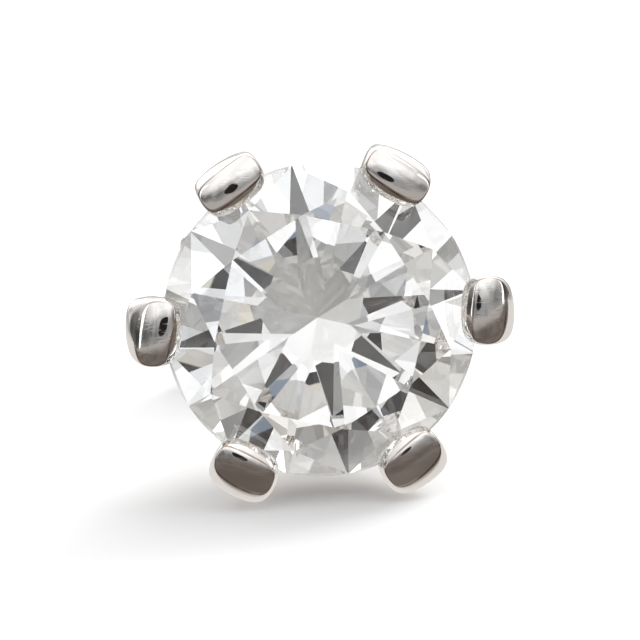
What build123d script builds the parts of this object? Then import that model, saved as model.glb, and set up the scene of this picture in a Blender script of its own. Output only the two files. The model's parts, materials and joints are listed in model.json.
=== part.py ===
"""Stud earring: a round brilliant stone in a six-claw basket, on a straight post with a butterfly back.

Every piece is made about the stud's own axis, in millimetres: the girdle's middle plane is XY,
+Z points out of the stone's table and the post runs along -Z. The finished stud is then laid on
its side, where it rests on its two lower claws and on the rolls of its back.
"""

import os
from math import cos, radians, sin, tan

from build123d import *

# Stone: a round brilliant with a large table
stone_diameter = 6.0
table_share = 0.69  # table, corner to corner, over the stone's diameter
crown_angle = 34.0
pavilion_angle = 40.8
girdle_thickness = 0.18
star_share = 0.56  # how far a star facet reaches from the table's edge to the girdle
lower_half_share = 0.77  # how far a lower half facet reaches from the girdle to the culet
stone_turn = 7.2  # azimuth of the first kite facet, from the first claw
facet_step = 45.0

# Claws: one row for each section, from the foot up
claw_count = 6
claw_sections = (
    # height, distance from the axis, radial width, width across, inner corner, outer corner
    (-2.45, 2.30, 0.82, 0.82, 0.38, 0.38),
    (-0.15, 3.27, 1.02, 1.26, 0.26, 0.46),
    (0.90, 3.19, 0.70, 1.10, 0.18, 0.40),
)
claw_top = 0.74  # height of a claw's crest
crest_distance = 3.05  # from the axis to the crest, near the claw's inner edge
crest_radius = 0.85  # of the domed top, along the radius
crest_radius_across = 1.60
waste_depth = 0.60

# Basket: the claws' wires bend under the stone and cross on the axis
wire_radius = 0.41
wire_bend = 0.85
arm_height = -3.50
rail_height = -1.22
rail_distance = 2.42
rail_radius = 0.36

# Post, soldered under the crossing
post_radius = 0.45
post_length = 11.0
pad_radius = 0.95
pad_thickness = 0.45
pad_bevel = 0.25
groove_from_tip = 1.6
groove_width = 0.50
groove_depth = 0.09
tip_rounding = 0.32

# Butterfly back: one strip of sheet with both ends rolled up
sheet = 0.30
back_width = 3.6
back_gap = 5.4  # from the solder pad to the back, where the ear lobe goes
outer_roll = 0.90  # to the sheet's middle
inner_roll = 0.68
inner_roll_turn = 200.0
back_corner = 1.15

# Clearances
seat_gap = 0.03  # between stone and metal
back_clearance = 0.03  # between back and post

# Worked out from these
stone_radius = stone_diameter / 2
half_girdle = girdle_thickness / 2
half_step = facet_step / 2
table_radius = table_share * stone_radius
table_height = half_girdle + (stone_radius - table_radius) * tan(radians(crown_angle))
table_edge = table_radius * cos(radians(half_step))
star_radius = table_edge + star_share * (stone_radius - table_edge)
star_drop = stone_radius - star_radius * cos(radians(half_step))
star_height = half_girdle + star_drop * tan(radians(crown_angle))
culet_height = -half_girdle - stone_radius * tan(radians(pavilion_angle))
lower_radius = (1 - lower_half_share) * stone_radius
lower_drop = stone_radius - lower_radius * cos(radians(half_step))
lower_height = -half_girdle - lower_drop * tan(radians(pavilion_angle))
foot_height, foot_distance = claw_sections[0][:2]
grip_height, grip_distance = claw_sections[1][:2]
claw_lean = (grip_distance - foot_distance) / (grip_height - foot_height)
elbow_distance = foot_distance + claw_lean * (arm_height - foot_height)
wire_end_height = (foot_height + rail_height) / 2
wire_end_distance = foot_distance + claw_lean * (wire_end_height - foot_height)
pad_back = arm_height - wire_radius - pad_thickness
post_tip = pad_back - post_length
groove_middle = post_tip + groove_from_tip + groove_width / 2
back_front = pad_back - back_gap
back_depth = 2 * outer_roll + sheet
roll_centre = post_radius + back_clearance + sheet / 2 + inner_roll
back_length = 2 * (roll_centre + outer_roll) + sheet


def at(distance, azimuth, height):
    """A point at a distance from the stud's axis."""
    turn = radians(azimuth)
    return Vector(distance * cos(turn), distance * sin(turn), height)


def facet_plane(first, second, third):
    """The plane through three points of the stone, facing away from its middle."""
    normal = (second - first).cross(third - first)
    if normal.dot(first) < 0:
        normal = -normal
    return Plane(origin=first, z_dir=normal)


def facets_of(kite):
    """The facet planes of the eighth of the stone whose kite facet has this azimuth."""
    before, middle, neighbour = kite - half_step, kite + half_step, kite + facet_step
    culet = at(0, 0, culet_height)
    table_corner = at(table_radius, kite, table_height)
    star_point = at(star_radius, middle, star_height)
    lower_point = at(lower_radius, middle, lower_height)
    planes = [
        facet_plane(table_corner, star_point, at(star_radius, before, star_height)),
        facet_plane(table_corner, star_point, at(table_radius, neighbour, table_height)),
        facet_plane(culet, lower_point, at(lower_radius, before, lower_height)),
    ]
    for girdle_end in (kite, neighbour):
        for inner_point, side in ((star_point, half_girdle), (lower_point, -half_girdle)):
            on_girdle = at(stone_radius, girdle_end, side), at(stone_radius, middle, side)
            planes.append(facet_plane(inner_point, *on_girdle))
    return planes


# Stone: a round blank, cut facet by facet
with BuildPart() as stone:
    with Locations((0, 0, culet_height)):
        Cylinder(
            radius=stone_radius,
            height=table_height - culet_height,
            align=(Align.CENTER, Align.CENTER, Align.MIN),
        )
    for eighth in range(8):
        for plane in facets_of(stone_turn + eighth * facet_step):
            split(bisect_by=plane, keep=Keep.BOTTOM)
stone.part.label = "stone"

# Seat: the space round the stone that the metal stays out of
with BuildPart() as seat:
    with BuildSketch(Plane.XZ):
        with BuildLine():
            Polyline(
                (0, culet_height),
                (lower_radius, lower_height),
                (stone_radius, -half_girdle),
                (stone_radius, half_girdle),
                (star_radius, star_height),
                (table_radius, table_height),
                (0, table_height),
                close=True,
            )
        make_face()
        offset(amount=seat_gap, kind=Kind.INTERSECTION)
        Rectangle(
            4 * stone_radius,
            4 * stone_radius,
            align=(Align.MIN, Align.CENTER),
            mode=Mode.INTERSECT,
        )
    revolve(axis=Axis.Z)

# Waste: what the file takes off a claw's top to leave it domed
with BuildPart() as waste:
    with Locations((crest_distance, 0, claw_top - waste_depth)):
        Cylinder(
            radius=crest_radius_across,
            height=2 * waste_depth,
            align=(Align.CENTER, Align.CENTER, Align.MIN),
        )
    with Locations((crest_distance, 0, claw_top - crest_radius_across)):
        Torus(
            major_radius=crest_radius_across - crest_radius,
            minor_radius=crest_radius,
            rotation=(0, 90, 0),
            mode=Mode.SUBTRACT,
        )

# Claw: a wire from the axis out and up, which thickens into a claw with a straight inner side
with BuildPart() as claw:
    for height, distance, radial_width, cross_width, inner_corner, outer_corner in claw_sections:
        with BuildSketch(Plane.XY.offset(height)) as section:
            with Locations((distance, 0)):
                Rectangle(radial_width, cross_width)
            fillet(section.vertices().group_by(Axis.X)[0], inner_corner)
            fillet(section.vertices().group_by(Axis.X)[-1], outer_corner)
    loft(ruled=True)
    add(waste.part, mode=Mode.SUBTRACT)
    with BuildLine(Plane.XZ) as wire_path:
        FilletPolyline(
            (0, arm_height),
            (elbow_distance, arm_height),
            (wire_end_distance, wire_end_height),
            radius=wire_bend,
        )
    with BuildSketch(Plane.YZ) as wire_section:
        with Locations((0, arm_height)):
            Circle(wire_radius)
    sweep(sections=wire_section.sketch, path=wire_path.line)

# Setting: claws, gallery rail, solder pad and post are one piece of metal
with BuildPart() as setting:
    with PolarLocations(radius=0, count=claw_count):
        add(claw.part)
    with Locations((0, 0, rail_height)):
        Torus(major_radius=rail_distance, minor_radius=rail_radius)
    with BuildSketch(Plane.XZ):
        with BuildLine():
            Polyline(
                (0, arm_height),
                (pad_radius, arm_height),
                (pad_radius, pad_back + pad_bevel),
                (pad_radius - pad_bevel, pad_back),
                (post_radius, pad_back),
                (post_radius, groove_middle + groove_width / 2),
                (post_radius - groove_depth, groove_middle),
                (post_radius, groove_middle - groove_width / 2),
                (post_radius, post_tip + tip_rounding),
                (post_radius - tip_rounding, post_tip),
                (0, post_tip),
                close=True,
            )
        make_face()
    revolve(axis=Axis.Z)
    add(seat.part, mode=Mode.SUBTRACT)
setting.part.label = "setting"

# Butterfly back: the strip's flat faces the ear, and its rolled ends pinch the post
with BuildPart() as back:
    with BuildSketch(Plane.XZ):
        for side in (1, -1):
            with BuildLine():
                flat = Line((0, back_front - sheet / 2), (side * roll_centre, back_front - sheet / 2))
                outer = JernArc(
                    start=flat @ 1,
                    tangent=(side, 0),
                    radius=outer_roll,
                    arc_size=-side * 180,
                )
                JernArc(
                    start=outer @ 1,
                    tangent=(-side, 0),
                    radius=inner_roll,
                    arc_size=-side * inner_roll_turn,
                )
            trace(line_width=sheet)
    extrude(amount=back_width / 2, both=True)
    with BuildSketch(Plane.XY.offset(back_front - back_depth)):
        RectangleRounded(back_length, back_width, back_corner)
    extrude(amount=back_depth, mode=Mode.INTERSECT)
    with Locations((0, 0, back_front)):
        Cylinder(radius=post_radius + back_clearance, height=3 * sheet, mode=Mode.SUBTRACT)
back.part.label = "butterfly_back"

pieces = (stone.part, setting.part, back.part)


def lowest(piece, tilt):
    """How far down a piece reaches, laid with the table facing -Y and up by the tilt."""
    return piece.rotate(Axis.X, 90 - tilt).bounding_box(optimal=True).min.Z


# Rest: at this tilt the claws and the back reach down to the same floor
low_tilt, high_tilt = 0.0, 20.0
while high_tilt - low_tilt > 0.001:
    rest_tilt = (low_tilt + high_tilt) / 2
    if lowest(back.part, rest_tilt) > lowest(setting.part, rest_tilt):
        low_tilt = rest_tilt
    else:
        high_tilt = rest_tilt

facing = (0, -cos(radians(rest_tilt)), sin(radians(rest_tilt)))
lying_length = setting.part.rotate(Axis.X, 90 - rest_tilt).bounding_box(optimal=True)
rest_plane = Plane(
    origin=(0, -lying_length.center().Y, -lying_length.min.Z),
    x_dir=(1, 0, 0),
    z_dir=facing,
)

os.makedirs("parts", exist_ok=True)
for piece in pieces:
    with BuildPart(rest_plane) as laid:
        add(piece)
    laid.part.label = piece.label
    export_step(laid.part, f"parts/{piece.label}.step")
    print(piece.label, "volume", round(piece.volume, 2), "mm3", laid.part.bounding_box())
print("rest tilt", round(rest_tilt, 3), "girdle centre", rest_plane.origin)
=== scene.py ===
"""A stud earring at rest on a pale table: a round brilliant in a six-claw basket, with post and back."""

import json
import math

import bmesh
import bpy
from mathutils import Matrix, Quaternion, Vector


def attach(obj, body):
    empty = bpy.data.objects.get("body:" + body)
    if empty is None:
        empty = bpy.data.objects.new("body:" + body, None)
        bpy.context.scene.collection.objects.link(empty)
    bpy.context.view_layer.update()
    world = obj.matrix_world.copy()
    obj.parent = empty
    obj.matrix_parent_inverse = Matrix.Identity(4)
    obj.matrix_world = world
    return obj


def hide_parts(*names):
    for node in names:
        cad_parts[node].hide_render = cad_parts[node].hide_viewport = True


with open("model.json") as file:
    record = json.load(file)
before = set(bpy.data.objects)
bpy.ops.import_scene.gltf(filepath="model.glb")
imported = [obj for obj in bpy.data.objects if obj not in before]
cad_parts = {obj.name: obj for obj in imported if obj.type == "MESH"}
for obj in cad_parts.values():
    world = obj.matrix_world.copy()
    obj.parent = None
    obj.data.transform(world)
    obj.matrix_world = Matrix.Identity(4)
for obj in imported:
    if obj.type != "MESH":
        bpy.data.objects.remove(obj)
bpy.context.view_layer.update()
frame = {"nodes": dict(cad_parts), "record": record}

# ---------------------------------------------------------------------------------------------
# The stone: a clear round brilliant, cut and polished facet by facet. Its girdle is left matt
# from the grinding wheel. It is a loose piece that the claws hold down in their seats.
# ---------------------------------------------------------------------------------------------

STONE_RADIUS = 3.0  # millimetres, as every size up to the studio unless it says otherwise
TABLE_RADIUS = 2.07
TABLE_HEIGHT = 0.717
HALF_GIRDLE = 0.09
STAR_RADIUS = 2.52
STAR_HEIGHT = 0.542
CULET_HEIGHT = -2.68

# The stud's own axis runs up the post and out of the table. Its origin is the girdle's middle.
post_end = frame["record"]["mounts"][0]
out_of_table = -Vector(post_end["axis"]).normalized()
on_post = Vector(post_end["pos_m"])
stone = frame["nodes"]["stone"]
table_at = max((corner.co - on_post).dot(out_of_table) for corner in stone.data.vertices)
girdle_middle = on_post + out_of_table * (table_at - TABLE_HEIGHT / 1000)
across = Vector((1, 0, 0))
stud = Matrix.Translation(girdle_middle) @ Matrix(
    (across, out_of_table.cross(across), out_of_table)
).transposed().to_4x4() @ Matrix.Scale(0.001, 4)


class Value:
    """A node's socket that takes part in sums, each of which adds a Math node."""

    def __init__(self, graph, socket):
        self.graph, self.socket = graph, socket

    def sum(self, operation, *terms):
        return self.graph.add("ShaderNodeMath", {"operation": operation}, dict(enumerate(terms)))[0]

    def __add__(self, other): return self.sum("ADD", self, other)
    def __radd__(self, other): return self.sum("ADD", other, self)
    def __sub__(self, other): return self.sum("SUBTRACT", self, other)
    def __rsub__(self, other): return self.sum("SUBTRACT", other, self)
    def __mul__(self, other): return self.sum("MULTIPLY", self, other)
    def __rmul__(self, other): return self.sum("MULTIPLY", other, self)
    def __truediv__(self, other): return self.sum("DIVIDE", self, other)
    def __rtruediv__(self, other): return self.sum("DIVIDE", other, self)
    def __pow__(self, other): return self.sum("POWER", self, other)


class Graph:
    """A node tree that is written as calls and sums."""

    def __init__(self, tree):
        self.tree = tree

    def add(self, kind, settings=None, values=None):
        """A node of this kind, as the list of its outputs. A ramp's stops are (place, colour)."""
        node = self.tree.nodes.new(kind)
        for name, setting in (settings or {}).items():
            if name == "stops":
                ramp = node.color_ramp.elements
                while len(ramp) < len(setting):
                    ramp.new(1.0)
                for stop, (place, colour) in zip(ramp, setting):
                    stop.position, stop.color = place, colour
            else:
                setattr(node, name, setting)
        for key, value in (values or {}).items():
            if isinstance(value, Value):
                self.tree.links.new(value.socket, node.inputs[key])
            else:
                node.inputs[key].default_value = value
        return [Value(self, socket) for socket in node.outputs]


def new_material(name):
    """An empty material, with the graph of its nodes."""
    material = bpy.data.materials.new(name)
    material.use_nodes = True
    material.node_tree.nodes.clear()
    return material, Graph(material.node_tree)


def on_piece(graph):
    """A point's place on its own piece, in metres."""
    return graph.add("ShaderNodeTexCoord")[3]


def along_axis(graph, place, direction, start):
    """How far a point is from a start, in metres in a direction."""
    gap = graph.add("ShaderNodeVectorMath", {"operation": "SUBTRACT"}, {0: place, 1: start})[0]
    return graph.add("ShaderNodeVectorMath", {"operation": "DOT_PRODUCT"}, {0: gap, 1: direction})[1]


def smoothly(graph, value, low, high, start=0.0, end=1.0):
    """The value taken from low..high to start..end, eased at both ends."""
    return graph.add(
        "ShaderNodeMapRange",
        {"interpolation_type": "SMOOTHSTEP"},
        {"Value": value, "From Min": low, "From Max": high, "To Min": start, "To Max": end},
    )[0]


STONE_INDEX = 2.18  # of refraction
MATT_TO = 7.4e-9  # square metres: the height above or below the girdle's middle, squared
POLISHED_FROM = 8.5e-9
GIRDLE_ROUGHNESS = 0.35
FACET_STEP = 0.02  # directions nearer than this belong to one facet and share its tint
FACET_SHIFT = 0.009  # keeps the level and upright facets off the edge of a step
# The facets' tints are painted fire: at random most facets stay clear, some take a faint cool blue cast
# and some a faint warm amber one, standing in for the coloured flashes of the stone's dispersion.
PAINTED_FIRE_TINTS = (
    (0.0, (0.90, 0.95, 1.0, 1.0)), (0.22, (0.99, 0.992, 0.99, 1.0)),
    (0.78, (0.995, 0.992, 0.98, 1.0)), (1.0, (1.0, 0.965, 0.90, 1.0)),
)

stone_material, graph = new_material("cut stone")
facing = graph.add("ShaderNodeNewGeometry")[3]
shifted = graph.add("ShaderNodeVectorMath", {}, {0: facing, 1: (FACET_SHIFT,) * 3})[0]
facet = graph.add("ShaderNodeVectorMath", {"operation": "SNAP"}, {0: shifted, 1: (FACET_STEP,) * 3})[0]
# A random painted fire tint for each facet, by the way it faces.
chance = graph.add("ShaderNodeTexWhiteNoise", {"noise_dimensions": "3D"}, {"Vector": facet})[0]
tint = graph.add("ShaderNodeValToRGB", {"stops": PAINTED_FIRE_TINTS}, {"Fac": chance})[0]
height = along_axis(graph, on_piece(graph), out_of_table, girdle_middle)
matt_girdle = smoothly(graph, height * height, MATT_TO, POLISHED_FROM, GIRDLE_ROUGHNESS, 0.0)
shader = graph.add(
    "ShaderNodeBsdfPrincipled", {},
    {"Base Color": tint, "Roughness": matt_girdle, "IOR": STONE_INDEX, "Transmission Weight": 1.0},
)[0]
graph.add("ShaderNodeOutputMaterial", {}, {"Surface": shader})
stone.data.materials.clear()
stone.data.materials.append(stone_material)

# ---------------------------------------------------------------------------------------------
# The setting: six cast claws on wires that bend under the stone and cross on the axis, a round
# gallery rail soldered inside them, and a pad that joins the crossing to the straight post. It
# is one piece of silver, filed and polished all over, with a seat cut in each claw for the stone.
# ---------------------------------------------------------------------------------------------

CLAWS = 6
SECTOR = math.tau / CLAWS
ROUND = 16  # corners round a claw, a wire and the rail
QUARTER = ROUND // 4
ROUND_GROWTH = 1.026  # makes up for what smoothing takes off a ring of sixteen corners
POST_GROWTH = 1.0115  # and off one of twenty-four

WIRE_HEIGHT = -3.50
WIRE_RADIUS = 0.41
RAIL_HEIGHT = -1.22
RAIL_DISTANCE = 2.42
RAIL_RADIUS = 0.36
POST_RADIUS = 0.45
POST_TIP = -15.36
GROOVE_MIDDLE = -13.51
GROOVE_DEPTH = 0.09

CREST_HEIGHT = 0.745
CREST_DISTANCE = 3.05
CREST_RADIUS = 0.72
CREST_RADIUS_ACROSS = 1.90

# Radius and height of the crossing's top from its right side to its left, of the dip in it, of
# its foot, and of the crotch between two wires.
CROSSING_TOP = ((0.50, -3.17), (0.60, -3.12), (0.64, -3.09), (0.60, -3.12), (0.50, -3.17))
CROSSING_DIP = (0.30, -3.085)
CROSSING_CENTRE = -3.08
CROSSING_FOOT = (0.965, -3.93)
CROTCH = ((0.955, -3.74), (0.90, -3.54), (0.72, -3.33))

# From the crossing to the rail's underside, and from the rail's top to the girdle.
LOWER_CLAW = (
    # distance, height, turn of the section, half along the radius, half across, squareness
    (0.98, WIRE_HEIGHT, 0.0, WIRE_RADIUS, WIRE_RADIUS, 2.0),
    (1.28, WIRE_HEIGHT, 0.0, WIRE_RADIUS, WIRE_RADIUS, 2.0),
    (1.54, -3.464, 16.8, WIRE_RADIUS, WIRE_RADIUS, 2.0),
    (1.763, -3.358, 33.6, WIRE_RADIUS, WIRE_RADIUS, 2.0),
    (1.947, -3.193, 50.3, WIRE_RADIUS, WIRE_RADIUS, 2.0),
    (2.076, -2.981, 67.1, 0.400, WIRE_RADIUS, 2.0),
    (2.30, -2.45, 74.0, 0.405, 0.415, 2.1),
    (2.46, -2.07, 81.0, 0.425, 0.435, 2.2),
    (2.58, -1.78, 87.0, 0.440, 0.460, 2.3),
)
RAIL_BAND = (
    (2.668, -1.575, 90.0, 0.455, 0.490, 2.4),
    (2.743, -1.400, 90.0, 0.460, 0.505, 2.45),
    (2.819, RAIL_HEIGHT, 90.0, 0.465, 0.520, 2.5),
    (2.895, -1.040, 90.0, 0.470, 0.535, 2.55),
    (2.969, -0.865, 90.0, 0.480, 0.550, 2.6),
)
UPPER_CLAW = (
    (3.078, -0.600, 90.0, 0.482, 0.590, 2.7),
    (3.190, -0.320, 90.0, 0.492, 0.622, 2.8),
    (3.248, -0.080, 90.0, 0.498, 0.646, 2.9),
    (3.255, 0.130, 90.0, 0.492, 0.652, 2.9),
)
# The claw's end: its rim lies on a domed top, and the sections below it keep the rim's heights.
CLAW_END = (
    # distance, depth, half along the radius, half across, squareness inside, squareness outside
    (3.172, 0.250, 0.548, 0.650, 3.0, 2.7),
    (3.180, 0.115, 0.462, 0.634, 3.4, 2.7),
    (3.184, 0.034, 0.366, 0.617, 3.9, 2.8),
    (3.180, 0.006, 0.324, 0.603, 4.3, 2.8),
)
CLAW_RIM = (3.180, 0.316, 0.598, 4.3, 2.8)  # the same without a depth
RIM_BEVEL = 0.03

RAIL_LIFTS = (-1.0, -0.55, 0.0, 0.55, 1.0)  # where the band's rows meet the rail, in the rail's radii
RAIL_LEAST = 0.03  # keeps the first and the last row off the rail's own middle line
RAIL_TURNS = (0.27, 0.37, SECTOR / 2)

# The pad and the post's root: radius and height.
PAD = (
    (0.965, -4.06), (0.955, -4.14), (0.86, -4.25), (0.72, -4.345), (0.58, -4.37), (0.47, -4.42),
    (0.452, -4.52), (POST_RADIUS, -4.75), (POST_RADIUS, -6.85), (POST_RADIUS, -8.95),
    (POST_RADIUS, -11.05),
)
# How far from the groove's middle or from the tip, and how deep it is cut there.
GROOVE = ((0.45, 0.0), (0.28, 0.0), (0.22, 0.02), (0.07, GROOVE_DEPTH))
TIP = ((0.42, 0.0), (0.27, 0.015), (0.13, 0.09), (0.035, 0.20), (0.0, 0.33))
TIP_CENTRE = -0.005


def dome(distance, sideways):
    """The height of a claw's domed top."""
    tube = CREST_RADIUS_ACROSS - CREST_RADIUS
    ahead = min(abs(distance - CREST_DISTANCE), CREST_RADIUS)
    reach = tube + math.sqrt(CREST_RADIUS**2 - ahead**2)
    return CREST_HEIGHT - CREST_RADIUS_ACROSS + math.sqrt(reach**2 - sideways**2)


def outline(half_radial, half_across, inner_square, outer_square):
    """The corners of a section, from its outermost point round by its left side."""
    for step in range(ROUND):
        along, aside = math.cos(math.tau * step / ROUND), math.sin(math.tau * step / ROUND)
        power = 2 / (outer_square if along > 0 else inner_square)
        yield (
            math.copysign(abs(along) ** power, along) * half_radial * ROUND_GROWTH,
            math.copysign(abs(aside) ** power, aside) * half_across * ROUND_GROWTH,
        )


def section(distance, height, turn, half_radial, half_across, squareness):
    """A claw's or a wire's section: upright across the wire at turn 0, level at turn 90."""
    lean = math.radians(turn)
    for along, aside in outline(half_radial, half_across, squareness, squareness):
        yield distance + along * math.sin(lean), aside, height - along * math.cos(lean)


def domed(distance, inset):
    """The claw's rim, drawn in by this much and laid on the domed top."""
    _, half_radial, half_across, inner_square, outer_square = CLAW_RIM
    for along, aside in outline(half_radial - inset, half_across - inset, inner_square, outer_square):
        yield distance + along, aside, dome(distance + along, aside)


def end_section(distance, depth, half_radial, half_across, inner_square, outer_square):
    """A section of the claw's end, at a depth below its rim."""
    shape = outline(half_radial, half_across, inner_square, outer_square)
    for (along, aside), (_, _, rim_height) in zip(shape, domed(CLAW_RIM[0], 0)):
        yield distance + along, aside, rim_height - depth


def polar(radius, turn, height):
    return radius * math.cos(turn), radius * math.sin(turn), height


# One claw's sector of the setting, which is repeated about the axis.
sector = bmesh.new()
rim_mark = sector.verts.layers.float.new("rim")


def corners(places):
    return [sector.verts.new(place) for place in places]


def face(*places):
    sector.faces.new(places)


def join_rings(first, second, steps):
    """Faces between two rings or rows, at these steps round them."""
    for step in steps:
        after = (step + 1) % len(first)
        face(first[step], first[after], second[after], second[step])


ALL_ROUND = range(ROUND)
ALONG_ROW = range(QUARTER)
OUTER_SIDE = (*range(3 * QUARTER, ROUND), *range(QUARTER))
LEFT, INNER = QUARTER, 2 * QUARTER  # a ring's leftmost and innermost corners

# The crossing: each wire leaves it through a frame of sixteen corners.
row_turns = [SECTOR * (column / QUARTER - 0.5) for column in range(QUARTER + 1)]
top_row = corners(polar(radius, turn, height) for turn, (radius, height) in zip(row_turns, CROSSING_TOP))
foot_radius, foot_height = CROSSING_FOOT
foot_row = corners(polar(foot_radius, turn, foot_height) for turn in row_turns)
left_side = corners(polar(radius, SECTOR / 2, height) for radius, height in CROTCH)
right_side = corners(polar(radius, -SECTOR / 2, height) for radius, height in CROTCH)
wire_frame = foot_row[2:] + left_side + top_row[::-1] + right_side[::-1] + foot_row[:2]
lower = [wire_frame] + [corners(section(*row)) for row in LOWER_CLAW]
for first, second in zip(lower, lower[1:]):
    join_rings(first, second, ALL_ROUND)

# The rail's band: the rail leaves the claw on both sides through frames of sixteen corners.
band = [corners(section(*row)) for row in RAIL_BAND]
rail_grown = RAIL_RADIUS * ROUND_GROWTH
for ring, lift in zip(band, RAIL_LIFTS):
    reach = math.sqrt(max(1 - lift**2, RAIL_LEAST))
    ring[INNER].co.x = RAIL_DISTANCE - rail_grown * reach
    ring[INNER].co.z = RAIL_HEIGHT + rail_grown * lift
join_rings(lower[-1], band[0], ALL_ROUND)
for first, second in zip(band, band[1:]):
    join_rings(first, second, OUTER_SIDE)

for side in (1, -1):
    steps = [side * step % ROUND for step in range(LEFT, INNER + 1)]
    up = [ring[steps[0]] for ring in band]
    down = [ring[steps[-1]] for ring in band]
    top_edge = [band[-1][step] for step in steps]
    bottom_edge = [band[0][step] for step in steps]
    rail = [up[2:] + top_edge[1:] + down[3::-1] + bottom_edge[-2::-1] + up[1:2]]
    for turn in RAIL_TURNS:
        rail.append(corners(
            polar(
                RAIL_DISTANCE + rail_grown * math.cos(math.tau * step / ROUND),
                side * turn,
                RAIL_HEIGHT + rail_grown * math.sin(math.tau * step / ROUND),
            )
            for step in ALL_ROUND
        ))
    for first, second in zip(rail, rail[1:]):
        join_rings(first, second, ALL_ROUND)

# The claw above the rail, and its end.
upper = [band[-1]] + [corners(section(*row)) for row in UPPER_CLAW]
upper += [corners(end_section(*row)) for row in CLAW_END]
upper.append(corners(domed(CLAW_RIM[0], RIM_BEVEL)))
for corner in upper[-2]:
    corner[rim_mark] = 1.0
for first, second in zip(upper, upper[1:]):
    join_rings(first, second, ALL_ROUND)

# The domed top inside the rim is a patch of squares, blended from the rim's four edges.
rim = upper[-1]
PATCH = QUARTER
left_edge = [rim[step] for step in (6, 5, 4, 3, 2)]
right_edge = [rim[step] for step in (10, 11, 12, 13, 14)]
inner_edge = [rim[step] for step in (6, 7, 8, 9, 10)]
outer_edge = [rim[step] for step in (2, 1, 0, 15, 14)]
patch = [left_edge]
for across_step in range(1, PATCH):
    column = [inner_edge[across_step]]
    for along_step in range(1, PATCH):
        u, v = along_step / PATCH, across_step / PATCH
        place = (
            left_edge[along_step].co * (1 - v) + right_edge[along_step].co * v
            + inner_edge[across_step].co * (1 - u) + outer_edge[across_step].co * u
            - inner_edge[0].co * (1 - u) * (1 - v) - inner_edge[-1].co * (1 - u) * v
            - outer_edge[0].co * u * (1 - v) - outer_edge[-1].co * u * v
        )
        column.append(sector.verts.new((place.x, place.y, dome(place.x, place.y))))
    patch.append(column + [outer_edge[across_step]])
patch.append(right_edge)
for step in range(PATCH):
    for first, second in zip(patch, patch[1:]):
        face(first[step], first[step + 1], second[step + 1], second[step])

# The crossing's top, and the pad and post below it, a sixth of the way round.
dip_radius, dip_height = CROSSING_DIP
dip_row = corners(polar(dip_radius, turn, dip_height) for turn in row_turns)
join_rings(top_row, dip_row, ALONG_ROW)
centre_top = sector.verts.new((0, 0, CROSSING_CENTRE))
for first, second in zip(dip_row, dip_row[1:]):
    face(first, second, centre_top)
post = [
    *PAD,
    *((POST_RADIUS - cut, GROOVE_MIDDLE + away) for away, cut in GROOVE),
    *((POST_RADIUS - cut, GROOVE_MIDDLE - away) for away, cut in reversed(GROOVE)),
    *((POST_RADIUS - cut, POST_TIP + away) for away, cut in TIP),
]
rows = [foot_row] + [
    corners(polar(radius * POST_GROWTH, turn, height) for turn in row_turns) for radius, height in post
]
for first, second in zip(rows, rows[1:]):
    join_rings(second, first, ALONG_ROW)
centre_tip = sector.verts.new((0, 0, POST_TIP + TIP_CENTRE))
for first, second in zip(rows[-1], rows[-1][1:]):
    face(second, first, centre_tip)

bmesh.ops.recalc_face_normals(sector, faces=sector.faces)
sector_mesh = bpy.data.meshes.new("sector of the setting")
sector.to_mesh(sector_mesh)
sector.free()

CLAW_WANDER = 0.05  # how far a setter's pliers leave a claw's end from its drawn place
LEAN_SHARE = 0.6  # of it that goes along the radius
CLAW_TWIST = math.radians(7)
TWIST_CENTRE = (3.20, 0.0, 0.0)
CLAW_SKEW = 0.16
CLAW_PINCH = 0.07
WANDER_STARTS = 0.15  # height
WANDER_FULL = 0.65
FILED_OFF = 0.20  # the most that the file took off the outer side of a claw, if it points straight up
FILED_STARTS = -0.9  # height
FILED_FULL = -0.1
FILED_FROM = 3.35  # distance
FILED_TO = 3.75
WELD = 0.001
CLAW_SEED = 4
SECOND_DRAW = 7  # added to the seed for a claw's other three chances


def geometry_tree(name, taken, inputs, given):
    """A tree that takes and gives geometry and has named inputs, its graph, and its inputs' values."""
    tree = bpy.data.node_groups.new(name, "GeometryNodeTree")
    tree.interface.new_socket(taken, in_out="INPUT", socket_type="NodeSocketGeometry")
    for label, kind in inputs.items():
        tree.interface.new_socket(label, in_out="INPUT", socket_type="NodeSocket" + kind)
    tree.interface.new_socket(given, in_out="OUTPUT", socket_type="NodeSocketGeometry")
    graph = Graph(tree)
    return tree, graph, graph.add("NodeGroupInput")[:-1]


def give_geometry(graph, geometry, metal, given):
    """Ends a tree with smooth, real geometry that has its metal."""
    shaded = graph.add("GeometryNodeSetShadeSmooth", {}, {"Geometry": geometry})[0]
    real = graph.add("GeometryNodeRealizeInstances", {}, {"Geometry": shaded})[0]
    painted = graph.add("GeometryNodeSetMaterial", {}, {"Geometry": real, "Material": metal})[0]
    graph.add("NodeGroupOutput", {}, {given: painted})


def split(graph, vector):
    """The three numbers of a vector."""
    return graph.add("ShaderNodeSeparateXYZ", {}, {"Vector": vector})


def joined(graph, *numbers):
    """A vector of up to three numbers."""
    return graph.add("ShaderNodeCombineXYZ", {}, dict(zip("XYZ", numbers)))[0]


def sine(value):
    return value.sum("SINE", value)


def chances(graph, claw, seed):
    """Three random numbers from -1 to 1 that belong to one claw."""
    return split(graph, graph.add(
        "FunctionNodeRandomValue", {"data_type": "FLOAT_VECTOR"},
        {"Min": (-1.0, -1.0, -1.0), "Max": (1.0, 1.0, 1.0), "ID": claw, "Seed": seed},
    )[0])


def about_axis(graph, place, centre, angle):
    """A place turned about an upright line through a centre."""
    return graph.add(
        "ShaderNodeVectorRotate", {"rotation_type": "Z_AXIS"},
        {"Vector": place, "Center": centre, "Angle": angle},
    )[0]


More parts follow.
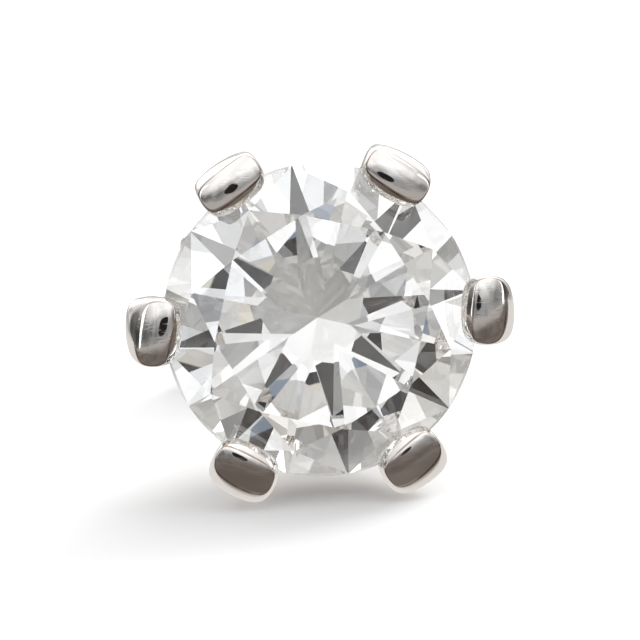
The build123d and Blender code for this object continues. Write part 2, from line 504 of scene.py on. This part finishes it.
repeat, graph, inputs = geometry_tree("claws about the axis", "Sector", {
    "Claws": "Int", "Levels": "Int", "Seed": "Int", "Wander": "Float", "Twist": "Float",
    "Metal": "Material",
}, "Setting")
piece, claws, levels, seed, wander, twist, metal = inputs
instance = graph.add("GeometryNodeGeometryToInstance", {}, {"Geometry": piece})[0]
copies, number = graph.add(
    "GeometryNodeDuplicateElements", {"domain": "INSTANCE"}, {"Geometry": instance, "Amount": claws}
)
marked = graph.add(
    "GeometryNodeStoreNamedAttribute", {"data_type": "INT", "domain": "INSTANCE"},
    {"Geometry": copies, "Name": "claw", "Value": number},
)[0]
real = graph.add("GeometryNodeRealizeInstances", {}, {"Geometry": marked})[0]
claw = graph.add("GeometryNodeInputNamedAttribute", {"data_type": "INT"}, {"Name": "claw"})[0]
here = graph.add("GeometryNodeInputPosition")[0]
distance, sideways, height = split(graph, here)
freedom = smoothly(graph, height, WANDER_STARTS, WANDER_FULL)
aside, lean, spin = chances(graph, claw, seed)
skew, pinch, _ = chances(graph, claw, seed + SECOND_DRAW)
turn = claw * math.tau / claws
upward = (sine(turn) + 1) / 2
filed = upward ** 3 * FILED_OFF * smoothly(graph, distance, FILED_FROM, FILED_TO)
filed = filed * smoothly(graph, height, FILED_STARTS, FILED_FULL)
offset = joined(
    graph,
    (lean * LEAN_SHARE * wander + skew * sideways * CLAW_SKEW) * freedom - filed,
    (aside * wander + pinch * sideways * CLAW_PINCH) * freedom,
)
turned = about_axis(graph, here, TWIST_CENTRE, spin * twist * freedom)
bent = graph.add(
    "GeometryNodeSetPosition", {}, {"Geometry": real, "Position": turned, "Offset": offset}
)[0]
placed = about_axis(graph, here, (0.0, 0.0, 0.0), turn)
round_axis = graph.add("GeometryNodeSetPosition", {}, {"Geometry": bent, "Position": placed})[0]
merged = graph.add("GeometryNodeMergeByDistance", {}, {"Geometry": round_axis, "Distance": WELD})[0]
smooth = graph.add("GeometryNodeSubdivisionSurface", {}, {"Mesh": merged, "Level": levels})[0]
give_geometry(graph, smooth, metal, "Setting")

SILVER = (0.93, 0.90, 0.87, 1.0)
SILVER_WORN = (0.90, 0.88, 0.86, 1.0)
SHADE_AT_RIM = (0.30, 0.20, 0.145, 1.0)
POLISH = (0.03, 0.09)  # roughness, where it is best and where it is worn
HAIRLINE_ROUGHNESS = 0.10
RIM_ROUGHNESS = 0.15
POLISH_DEPTH = 0.000016  # metres
DABS_SHARE = 0.32  # how deep the wheel's dabs and the hairlines are beside the slow wobble
HAIRLINE_SHARE = 0.03
DRAWN_OUT = (0.04, 1.0, 1.0)  # a hairline's grain, stretched twenty-five times along its run


def noise(graph, vector, scale, detail=3.0, roughness=0.5):
    """A smooth random value, 0 to 1, whose blotches are 1 / scale metres apart."""
    return graph.add(
        "ShaderNodeTexNoise", {},
        {"Vector": vector, "Scale": scale, "Detail": detail, "Roughness": roughness},
    )[0]


def scratches(graph, place, turn, scale):
    """Hairlines that all run one way, as a mask that is mostly 0."""
    stretched = graph.add(
        "ShaderNodeMapping", {}, {"Vector": place, "Rotation": turn, "Scale": DRAWN_OUT}
    )[0]
    return smoothly(graph, noise(graph, stretched, scale, 1.0), 0.66, 0.76)


def mixed(graph, share, first, second):
    """A colour between two colours, the second's share of it given."""
    return graph.add("ShaderNodeMix", {"data_type": "RGBA"}, {0: share, 6: first, 7: second})[2]


silver, graph = new_material("polished silver")
place = on_piece(graph)
wobble = noise(graph, place, 1300.0, 1.0)
dabs = noise(graph, place, 3600.0, 1.0)
wear = noise(graph, place, 2600.0, 4.0, 0.6)
hairlines = (
    scratches(graph, place, (0.3, 0.9, 0.2), 21000.0)
    + scratches(graph, place, (1.2, 0.2, 0.9), 26000.0)
    + scratches(graph, place, (0.7, 0.1, 2.1), 17000.0)
)
# A thin line of painted shade runs round each claw just below its rim's bevel, made uneven by the dabs,
# and the metal there is a little rougher.
rim_shade = smoothly(graph, graph.add("ShaderNodeAttribute", {"attribute_name": "rim"})[2], 0.42, 0.72)
rim_shade = rim_shade * smoothly(graph, dabs, 0.3, 0.65, 0.35, 0.85)
tone = mixed(graph, smoothly(graph, wear, 0.3, 0.7), SILVER, SILVER_WORN)
tone = mixed(graph, rim_shade, tone, SHADE_AT_RIM)
gloss = smoothly(graph, wear, 0.35, 0.75, *POLISH) + hairlines * HAIRLINE_ROUGHNESS
surface = graph.add(
    "ShaderNodeBump", {},
    {
        "Strength": 1.0, "Distance": POLISH_DEPTH,
        "Height": wobble + dabs * DABS_SHARE - hairlines * HAIRLINE_SHARE,
    },
)[0]
shader = graph.add(
    "ShaderNodeBsdfPrincipled", {},
    {
        "Base Color": tone, "Metallic": 1.0, "Roughness": gloss + rim_shade * RIM_ROUGHNESS,
        "Normal": surface,
    },
)[0]
graph.add("ShaderNodeOutputMaterial", {}, {"Surface": shader})


def settle(piece):
    """Makes the result of a piece's modifiers its own plain mesh."""
    evaluated = piece.evaluated_get(bpy.context.evaluated_depsgraph_get())
    piece.data = bpy.data.meshes.new_from_object(evaluated)
    piece.modifiers.clear()


def made_by(tree, name, mesh, inputs):
    """What a geometry tree makes of a mesh, as a new object in the stud's own frame."""
    working = bpy.data.objects.new(name, mesh)
    bpy.context.scene.collection.objects.link(working)
    modifier = working.modifiers.new(name, "NODES")
    modifier.node_group = tree
    named = {item.name: item.identifier for item in tree.interface.items_tree if item.in_out == "INPUT"}
    for key, value in inputs.items():
        modifier[named[key]] = value
    settle(working)
    if working.data.materials[0] is None:
        working.data.materials.pop(index=0)
    return working


setting = made_by(repeat, "claw_setting", sector_mesh, {
    "Claws": CLAWS, "Levels": 2, "Seed": CLAW_SEED, "Wander": CLAW_WANDER, "Twist": CLAW_TWIST,
    "Metal": silver,
})

# The seat: the stone's outline, a little larger all round, is cut out of every claw.
SEAT_GAP = 0.03
SEAT_STEPS = 144
SEAT_MERGE = 0.0001
SHARP_FROM = math.radians(40)
seat_profile = (
    (0.0, CULET_HEIGHT - SEAT_GAP),
    (STONE_RADIUS + SEAT_GAP, -HALF_GIRDLE - SEAT_GAP / 2),
    (STONE_RADIUS + SEAT_GAP, HALF_GIRDLE + SEAT_GAP / 2),
    (STAR_RADIUS + SEAT_GAP, STAR_HEIGHT + SEAT_GAP),
    (TABLE_RADIUS, TABLE_HEIGHT + SEAT_GAP),
    (0.0, TABLE_HEIGHT + SEAT_GAP),
)
seat = bmesh.new()
profile = [seat.verts.new((radius, 0, height)) for radius, height in seat_profile]
edges = [seat.edges.new(pair) for pair in zip(profile, profile[1:])]
bmesh.ops.spin(
    seat, geom=profile + edges, axis=(0, 0, 1), cent=(0, 0, 0), angle=math.tau, steps=SEAT_STEPS,
    use_merge=True,
)
bmesh.ops.remove_doubles(seat, verts=seat.verts, dist=SEAT_MERGE)
bmesh.ops.recalc_face_normals(seat, faces=seat.faces)
seat_mesh = bpy.data.meshes.new("seat")
seat.to_mesh(seat_mesh)
seat.free()
cutter = bpy.data.objects.new("seat", seat_mesh)
bpy.context.scene.collection.objects.link(cutter)
cut = setting.modifiers.new("seat", "BOOLEAN")
cut.operation, cut.object, cut.solver = "DIFFERENCE", cutter, "EXACT"
settle(setting)
bpy.data.objects.remove(cutter)
setting.data.set_sharp_from_angle(angle=SHARP_FROM)
setting.data.transform(stud)
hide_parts("setting")
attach(setting, "root")

# ---------------------------------------------------------------------------------------------
# The butterfly back: one blank of sheet silver, stamped with a dished hole and with both ends
# rolled into scrolls, whose spring grips the post. It slides off along the post.
# ---------------------------------------------------------------------------------------------

BACK_FRONT = -9.76
SHEET = 0.30
SHEET_EDGE = 0.07
BACK_LENGTH = 4.72
BACK_WIDTH = 3.60
BACK_CORNER = 1.15
OUTER_ROLL = 0.90
INNER_ROLL = 0.68
INNER_ROLL_TURN = math.radians(200)
ROLL_STARTS = 1.31
HOLE_RADIUS = 0.50  # of the sheet's middle
DISH_DEPTH = 0.10
DISH = ((0.92, 0.0), (0.74, 0.35), (0.58, 0.85), (HOLE_RADIUS, 1.0))  # radius, share of the depth

# The blank lies flat as a grid, along its length and from edge to edge of its width at -1 to 1.
# Its middle is left open for the dish, as a square of six by six cells.
OPEN_CELLS = 6
HALF_OPEN = 0.96
CELLS_OUTWARD = 30
EDGE_ROWS = (0.70, 0.86, 1.0)
half_width = BACK_WIDTH / 2
blank_length = ROLL_STARTS + math.pi * OUTER_ROLL + INNER_ROLL * INNER_ROLL_TURN
reach = blank_length - HALF_OPEN
outward = [HALF_OPEN + reach * step / CELLS_OUTWARD for step in range(1, CELLS_OUTWARD + 1)]
opened = [HALF_OPEN * (2 * step / OPEN_CELLS - 1) for step in range(OPEN_CELLS + 1)]
lengths = [-place for place in reversed(outward)] + opened + outward
widths = [-part for part in reversed(EDGE_ROWS)] + [place / half_width for place in opened] + [*EDGE_ROWS]
first_column, first_row = CELLS_OUTWARD, len(EDGE_ROWS)
open_columns = range(first_column, first_column + OPEN_CELLS)
open_rows = range(first_row, first_row + OPEN_CELLS)

blank = bmesh.new()
grid = {}
for column, place in enumerate(lengths):
    for row, part in enumerate(widths):
        if not (column in open_columns[1:] and row in open_rows[1:]):
            grid[column, row] = blank.verts.new((place, part, 0))
for column in range(len(lengths) - 1):
    for row in range(len(widths) - 1):
        if not (column in open_columns and row in open_rows):
            cell = ((column, row), (column + 1, row), (column + 1, row + 1), (column, row + 1))
            blank.faces.new([grid[corner] for corner in cell])

last_column, last_row = first_column + OPEN_CELLS, first_row + OPEN_CELLS
ring = [grid[corner] for corner in (
    *((first_column + step, first_row) for step in range(OPEN_CELLS)),
    *((last_column, first_row + step) for step in range(OPEN_CELLS)),
    *((last_column - step, last_row) for step in range(OPEN_CELLS)),
    *((first_column, last_row - step) for step in range(OPEN_CELLS)),
)]
for radius, depth in DISH:
    inner_ring = []
    for step in range(len(ring)):
        turn = math.tau * (step / len(ring) - 3 / 8)  # the square's first corner lies at 3/8
        inner_ring.append(blank.verts.new((
            radius * math.cos(turn), radius * math.sin(turn) / half_width, -DISH_DEPTH * depth
        )))
    for step in range(len(ring)):
        after = (step + 1) % len(ring)
        blank.faces.new((ring[step], ring[after], inner_ring[after], inner_ring[step]))
    ring = inner_ring
bmesh.ops.recalc_face_normals(blank, faces=blank.faces)
blank_mesh = bpy.data.meshes.new("blank of the back")
blank.to_mesh(blank_mesh)
blank.free()


def cosine(value):
    return value.sum("COSINE", value)


# The tree bends the flat blank by how far along it a point is, first by the outer roll's half
# turn and then round the inner roll, and draws its width in towards the rounded corners.
roll, graph, inputs = geometry_tree("roll the ends", "Blank", {
    "Roll starts": "Float", "Outer roll": "Float", "Inner roll": "Float", "Length": "Float",
    "Width": "Float", "Corner": "Float", "Height": "Float", "Metal": "Material",
}, "Back")
flat, starts, outer, inner, length, width, corner, level, metal = inputs
place, part, sunk = split(graph, graph.add("GeometryNodeInputPosition")[0])
side = place.sum("SIGN", place)
along = place * side
half_turn = outer * math.pi
bent_outer = graph.add("ShaderNodeClamp", {}, {"Value": along - starts, "Min": 0.0, "Max": half_turn})[0]
bent_inner = along.sum("MAXIMUM", along - starts - half_turn, 0.0)
first_turn = bent_outer / outer
second_turn = bent_inner / inner
straight = along.sum("MINIMUM", along, starts)
out_to = straight + sine(first_turn) * outer - sine(second_turn) * inner
behind = (1 - cosine(first_turn)) * outer + (cosine(second_turn) - 1) * inner
past_corner = graph.add("ShaderNodeClamp", {}, {
    "Value": out_to - (length / 2 - corner), "Min": 0.0, "Max": corner,
})[0]
narrowed = width / 2 - corner + (corner ** 2 - past_corner ** 2) ** 0.5
rolled = joined(graph, out_to * side, part * narrowed, level - behind + sunk)
shaped = graph.add("GeometryNodeSetPosition", {}, {"Geometry": flat, "Position": rolled})[0]
give_geometry(graph, shaped, metal, "Back")

SHEET_SILVER = (0.91, 0.885, 0.86, 1.0)
SHEET_SILVER_WORN = (0.87, 0.855, 0.84, 1.0)
GRAIN_ROUGHNESS = (0.07, 0.14)
WEAR_ROUGHNESS = (0.0, 0.10)
SHEET_RIPPLE = 0.000008  # metres
GRAIN_SHARE = 0.06
GRAIN_DRAWN = 0.05  # the rolling mill's grain is twenty times as long as wide

sheet_silver, graph = new_material("rolled sheet silver")
place = on_piece(graph)
edgeways = along_axis(graph, place, out_of_table.cross(across), girdle_middle)
lengthways = along_axis(graph, place, out_of_table, girdle_middle)
sideways = split(graph, place)[0]
drawn_out = joined(graph, sideways * GRAIN_DRAWN, edgeways, lengthways * GRAIN_DRAWN)
grain = noise(graph, drawn_out, 15000.0, 2.0)
wear = noise(graph, place, 2200.0, 4.0, 0.6)
ripple = noise(graph, place, 900.0, 1.0)
tone = mixed(graph, smoothly(graph, wear, 0.3, 0.7), SHEET_SILVER, SHEET_SILVER_WORN)
gloss = smoothly(graph, grain, 0.3, 0.7, *GRAIN_ROUGHNESS)
gloss = gloss + smoothly(graph, wear, 0.45, 0.8, *WEAR_ROUGHNESS)
surface = graph.add(
    "ShaderNodeBump", {},
    {"Strength": 1.0, "Distance": SHEET_RIPPLE, "Height": ripple + grain * GRAIN_SHARE},
)[0]
shader = graph.add(
    "ShaderNodeBsdfPrincipled", {},
    {"Base Color": tone, "Metallic": 1.0, "Roughness": gloss, "Normal": surface},
)[0]
graph.add("ShaderNodeOutputMaterial", {}, {"Surface": shader})

back = made_by(roll, "rolled_back", blank_mesh, {
    "Roll starts": ROLL_STARTS, "Outer roll": OUTER_ROLL, "Inner roll": INNER_ROLL,
    "Length": BACK_LENGTH, "Width": BACK_WIDTH, "Corner": BACK_CORNER,
    "Height": BACK_FRONT - SHEET / 2, "Metal": sheet_silver,
})
wall = back.modifiers.new("sheet", "SOLIDIFY")
wall.thickness, wall.offset, wall.use_even_offset = SHEET, 0.0, True
edge = back.modifiers.new("edges", "BEVEL")
edge.width, edge.segments = SHEET_EDGE, 3
edge.limit_method, edge.angle_limit = "ANGLE", math.radians(50)
settle(back)
back.data.set_sharp_from_angle(angle=SHARP_FROM)
back.data.transform(stud)
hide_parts("butterfly_back")
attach(back, "root")

# ---------------------------------------------------------------------------------------------
# The studio, in metres: a pale table that runs out of sight, soft light from above and all round,
# and the dark of the camera's side, which polished metal and facets need to be seen by.
# ---------------------------------------------------------------------------------------------

CAMERA_TURN = math.radians(-3.0)
CAMERA_LIFT = math.radians(11.4)
CAMERA_ROLL = math.radians(-2.8)
CAMERA_DISTANCE = 0.085
towards_camera = Vector((
    math.sin(CAMERA_TURN) * math.cos(CAMERA_LIFT),
    -math.cos(CAMERA_TURN) * math.cos(CAMERA_LIFT),
    math.sin(CAMERA_LIFT),
))
camera = bpy.data.objects.new("camera", bpy.data.cameras.new("camera"))
bpy.context.scene.collection.objects.link(camera)
camera.data.lens = 250
camera.data.clip_start = 0.001
camera.data.clip_end = 10
camera.location = girdle_middle + towards_camera * CAMERA_DISTANCE
camera.rotation_mode = "QUATERNION"
straight_at_stud = (-towards_camera).to_track_quat("-Z", "Y")
camera.rotation_quaternion = straight_at_stud @ Quaternion((0, 0, 1), CAMERA_ROLL)
bpy.context.scene.camera = camera

# The table is white to the eye and to light. The stone sees it painted greyer, with a soft patch of
# painted shade in front of the stud; to the metal it glows with painted reflections, with a dark
# brown patch of painted shade lying in front of the stud.
TABLE_SIZE = 2.0
TABLE_WHITE = (0.92, 0.92, 0.92, 1.0)
# The painted shade's brown, from darker to lighter.
SHADE_BROWN = ((0.130, 0.108, 0.094, 1.0), (0.190, 0.164, 0.147, 1.0))
SHADE_MIDDLE = -0.0135
SHADE_HALF = (0.040, 0.0058)
SHADE_EDGE = (0.885, 0.965)  # where its edge starts and ends, in its half sizes

# Through the stone: the painted shade, softer and wider, and the table round it, painted grey.
SOFT_SHADE_MIDDLE = -0.0160
SOFT_SHADE_HALF = (0.040, 0.0095)
SOFT_SHADE_EDGE = (0.75, 1.2)
SHADE_BELOW = (0.30, 0.295, 0.28, 1.0)
TABLE_SHADED_BELOW = (0.54, 0.535, 0.52, 1.0)

# The painted reflections that the table glows with in the metal, from the far front to the far back,
# with where each changes into the next.
FAR_FRONT = (0.44, 0.41, 0.39, 1.0)
FRONT_CHANGES = (-0.028, -0.018)
NEAR_SHADE = (0.16, 0.14, 0.128, 1.0)
SHADE_CHANGES = (-0.0090, -0.0080)
NEAR_STUD = (0.77, 0.74, 0.715, 1.0)
BACK_CHANGES = (0.004, 0.040)
FAR_BACK = (0.46, 0.445, 0.435, 1.0)


def rays(graph):
    """Masks for rays that come straight, that run through the stone, and that the metal mirrors."""
    path = graph.add("ShaderNodeLightPath")
    return path[0], path[6], path[3] * (1 - path[6])


def from_middle(x, y, half, middle=0.0):
    """1 at the edge of an ellipse of these half sizes, and less inside it."""
    return ((x / half[0]) ** 2 + ((y - middle) / half[1]) ** 2) ** 0.5


def shade_brown(graph, place):
    """The brown of the painted shade, a little uneven."""
    return mixed(graph, smoothly(graph, noise(graph, place, 240.0, 2.0), 0.32, 0.68), *SHADE_BROWN)


def glowing(graph, colour):
    return graph.add("ShaderNodeEmission", {}, {"Color": colour})[0]


def either(graph, share, first, second):
    """A shader between two shaders, the second's share of it given."""
    return graph.add("ShaderNodeMixShader", {}, {0: share, 1: first, 2: second})[0]


bpy.ops.mesh.primitive_plane_add(size=TABLE_SIZE)
table = bpy.context.active_object
table.name = "table"
table_material, graph = new_material("pale table")
_, in_stone, in_metal = rays(graph)
place = on_piece(graph)
x, y, _ = split(graph, place)
soft_shade = from_middle(x, y, SOFT_SHADE_HALF, SOFT_SHADE_MIDDLE)
below = mixed(graph, smoothly(graph, soft_shade, *SOFT_SHADE_EDGE), SHADE_BELOW, TABLE_SHADED_BELOW)
pale = mixed(graph, in_stone, TABLE_WHITE, below)
painted_reflection = mixed(graph, smoothly(graph, y, *FRONT_CHANGES), FAR_FRONT, NEAR_SHADE)
painted_reflection = mixed(graph, smoothly(graph, y, *SHADE_CHANGES), painted_reflection, NEAR_STUD)
painted_reflection = mixed(graph, smoothly(graph, y, *BACK_CHANGES), painted_reflection, FAR_BACK)
shade = from_middle(x, y, SHADE_HALF, SHADE_MIDDLE)
painted_reflection = mixed(graph, smoothly(graph, shade, *SHADE_EDGE), shade_brown(graph, place), painted_reflection)
matt = graph.add("ShaderNodeBsdfDiffuse", {}, {"Color": pale})[0]
# For the metal's rays the table glows, a painted reflection in place of the lit table.
shader = either(graph, in_metal, matt, glowing(graph, painted_reflection))
graph.add("ShaderNodeOutputMaterial", {}, {"Surface": shader})
table.data.materials.append(table_material)

# A low upright sheet stands on the table, hidden from the camera and casting no shadow. For the
# metal alone it glows with the same brown, a painted dark reflection, and fades towards its top.
LOW_SHADE_WIDTH = 0.060
LOW_SHADE_HEIGHT = 0.0030
LOW_SHADE_AT = -0.0165
FADE_STARTS = 0.3  # of its height
bpy.ops.mesh.primitive_plane_add(
    size=1.0, location=(0, LOW_SHADE_AT, LOW_SHADE_HEIGHT / 2), rotation=(math.pi / 2, 0, 0)
)
low_shade = bpy.context.active_object
low_shade.name = "low card"
low_shade.scale = (LOW_SHADE_WIDTH, LOW_SHADE_HEIGHT, 1.0)
low_shade_material, graph = new_material("dark card")
place = graph.add("ShaderNodeNewGeometry")[0]
height = split(graph, place)[2]
fade = smoothly(graph, height, LOW_SHADE_HEIGHT * FADE_STARTS, LOW_SHADE_HEIGHT)
clear = graph.add("ShaderNodeBsdfTransparent")[0]
# The sheet glows with its painted shade's brown low down and turns clear towards its top.
shader = either(graph, fade, glowing(graph, shade_brown(graph, place)), clear)
graph.add("ShaderNodeOutputMaterial", {}, {"Surface": shader})
low_shade.data.materials.append(low_shade_material)
low_shade.visible_camera = False
low_shade.visible_diffuse = False
low_shade.visible_transmission = False
low_shade.visible_shadow = False

# The camera's own dark front is a disc to the stone, with a faint fringe of glowing painted light
# round it, seen only through the stone, cool at its lower left and warm at its upper right. The
# metal sees a smaller oval.
DARK_BEHIND = 0.002  # the camera
DARK_RADIUS = 0.0155
FRINGE_STARTS = 0.0001
FRINGE_RADIUS = 0.0162
FRINGE_COOL = (0.22, 0.265, 0.335, 1.0)
FRINGE_WARM = (0.76, 0.71, 0.62, 1.0)
FRINGE_LEAN = 0.8
FRINGE_CHANGES = (-0.004, 0.004)
CAMERA_BLACK = (0.012, 0.01, 0.01, 1.0)
LENS_HALF = (0.0135, 0.0105)
LENS_EDGE = (0.96, 1.04)
bpy.ops.mesh.primitive_circle_add(vertices=64, radius=FRINGE_RADIUS, fill_type="NGON")
dark = bpy.context.active_object
dark.name = "camera front"
dark.location = girdle_middle + towards_camera * (CAMERA_DISTANCE + DARK_BEHIND)
dark.rotation_mode = "QUATERNION"
dark.rotation_quaternion = towards_camera.to_track_quat("Z", "Y")
dark_material, graph = new_material("camera black")
_, in_stone, in_metal = rays(graph)
x, y, _ = split(graph, on_piece(graph))
in_fringe = smoothly(graph, (x ** 2 + y ** 2) ** 0.5, DARK_RADIUS, DARK_RADIUS + FRINGE_STARTS)
# The fringe's painted light, cool to warm across it.
fringe = mixed(graph, smoothly(graph, x * FRINGE_LEAN + y, *FRINGE_CHANGES), FRINGE_COOL, FRINGE_WARM)
black = graph.add("ShaderNodeBsdfDiffuse", {}, {"Color": CAMERA_BLACK})[0]
clear = graph.add("ShaderNodeBsdfTransparent")[0]
disc = either(graph, in_fringe, black, either(graph, in_stone, clear, glowing(graph, fringe)))
past_lens = smoothly(graph, from_middle(x, y, LENS_HALF), *LENS_EDGE) * in_metal
shader = either(graph, past_lens, disc, clear)
graph.add("ShaderNodeOutputMaterial", {}, {"Surface": shader})
dark.data.materials.append(dark_material)
dark.visible_camera = False
dark.visible_diffuse = False
dark.visible_shadow = False

# The room is white to the eye. Its light is strongest overhead, weaker at the sides, and uneven
# low down, where things stand about. x, y and z point right, away from the camera and up.
CLUTTER = (0.55, 1.25)
CLUTTER_OVERHEAD = 0.35
LOW_LIGHT = 0.24
SIDE_LIGHT = 0.55
BACK_LIGHT = 0.55
STONE_LIFT = 0.15
STONE_GAIN = 0.06
FRONT_DARK = 0.42
METAL_LIFT = 0.22
METAL_SIDE_DARK = 0.65
world = bpy.data.worlds.new("studio")
bpy.context.scene.world = world
world.use_nodes = True
world.node_tree.nodes.clear()
graph = Graph(world.node_tree)
facing = graph.add("ShaderNodeTexCoord")[0]
x, y, z = split(graph, facing)
straight_view, in_stone, in_metal = rays(graph)
side = (x * x) ** 0.5
clutter = smoothly(graph, noise(graph, facing, 3.0, 2.0), 0.38, 0.62, *CLUTTER)
clutter = 1 + (clutter - 1) * smoothly(graph, z, 0.22, 0.45, 1.0, CLUTTER_OVERHEAD)
room = smoothly(graph, z, 0.0, 0.46, LOW_LIGHT, 1.0) * smoothly(graph, side, 0.35, 0.8, 1.0, SIDE_LIGHT)
room = room + smoothly(graph, y, 0.1, 0.9, 0.0, BACK_LIGHT) * smoothly(graph, z, 0.0, 0.10, 0.15, 1.0)
room = room * clutter * (1 + in_stone * STONE_GAIN) + in_stone * STONE_LIFT
low_front = smoothly(graph, y, -0.75, -0.45, 1.0, 0.0) * smoothly(graph, z, 0.22, 0.50, 1.0, 0.0)
room = room * (1 - low_front * (1 - in_stone) * FRONT_DARK)
ceiling = smoothly(graph, z, 0.35, 0.70, 0.0, METAL_LIFT)
skirting = smoothly(graph, z, 0.0, 0.18, METAL_LIFT, 0.0)
room = room + in_metal * (ceiling + skirting)
room = room * (1 - in_metal * smoothly(graph, side, 0.84, 0.93, 0.0, METAL_SIDE_DARK))
light = graph.add("ShaderNodeMix", {"data_type": "FLOAT"}, {0: straight_view, 2: room, 3: 1.0})[0]
background = graph.add("ShaderNodeBackground", {}, {"Color": (1, 1, 1, 1), "Strength": light})[0]
graph.add("ShaderNodeOutputWorld", {}, {"Surface": background})


def softbox(name, place, size, radiance):
    """A rectangular light that faces the stud."""
    light = bpy.data.objects.new(name, bpy.data.lights.new(name, "AREA"))
    bpy.context.scene.collection.objects.link(light)
    light.data.shape = "RECTANGLE"
    light.data.size, light.data.size_y = size
    light.data.energy = radiance * math.pi * size[0] * size[1]
    light.location = place
    light.rotation_mode = "QUATERNION"
    light.rotation_quaternion = light.location.to_track_quat("Z", "Y")
    return light


softbox("overhead light", (0.05, 0.06, 0.19), (0.20, 0.16), 1.3)
low_key = softbox("low key light", (0.085, 0.085, 0.052), (0.09, 0.09), 7.5)
low_key.visible_glossy = False
low_key.visible_transmission = False
softbox("right strip", (0.17, -0.07, 0.06), (0.03, 0.14), 1.8)
softbox("left strip", (-0.16, -0.09, 0.07), (0.025, 0.14), 1.8)

scene = bpy.context.scene
scene.cycles.max_bounces = 24
scene.cycles.transmission_bounces = 24
scene.cycles.glossy_bounces = 12
scene.cycles.use_denoising = True
scene.view_settings.view_transform = "Standard"
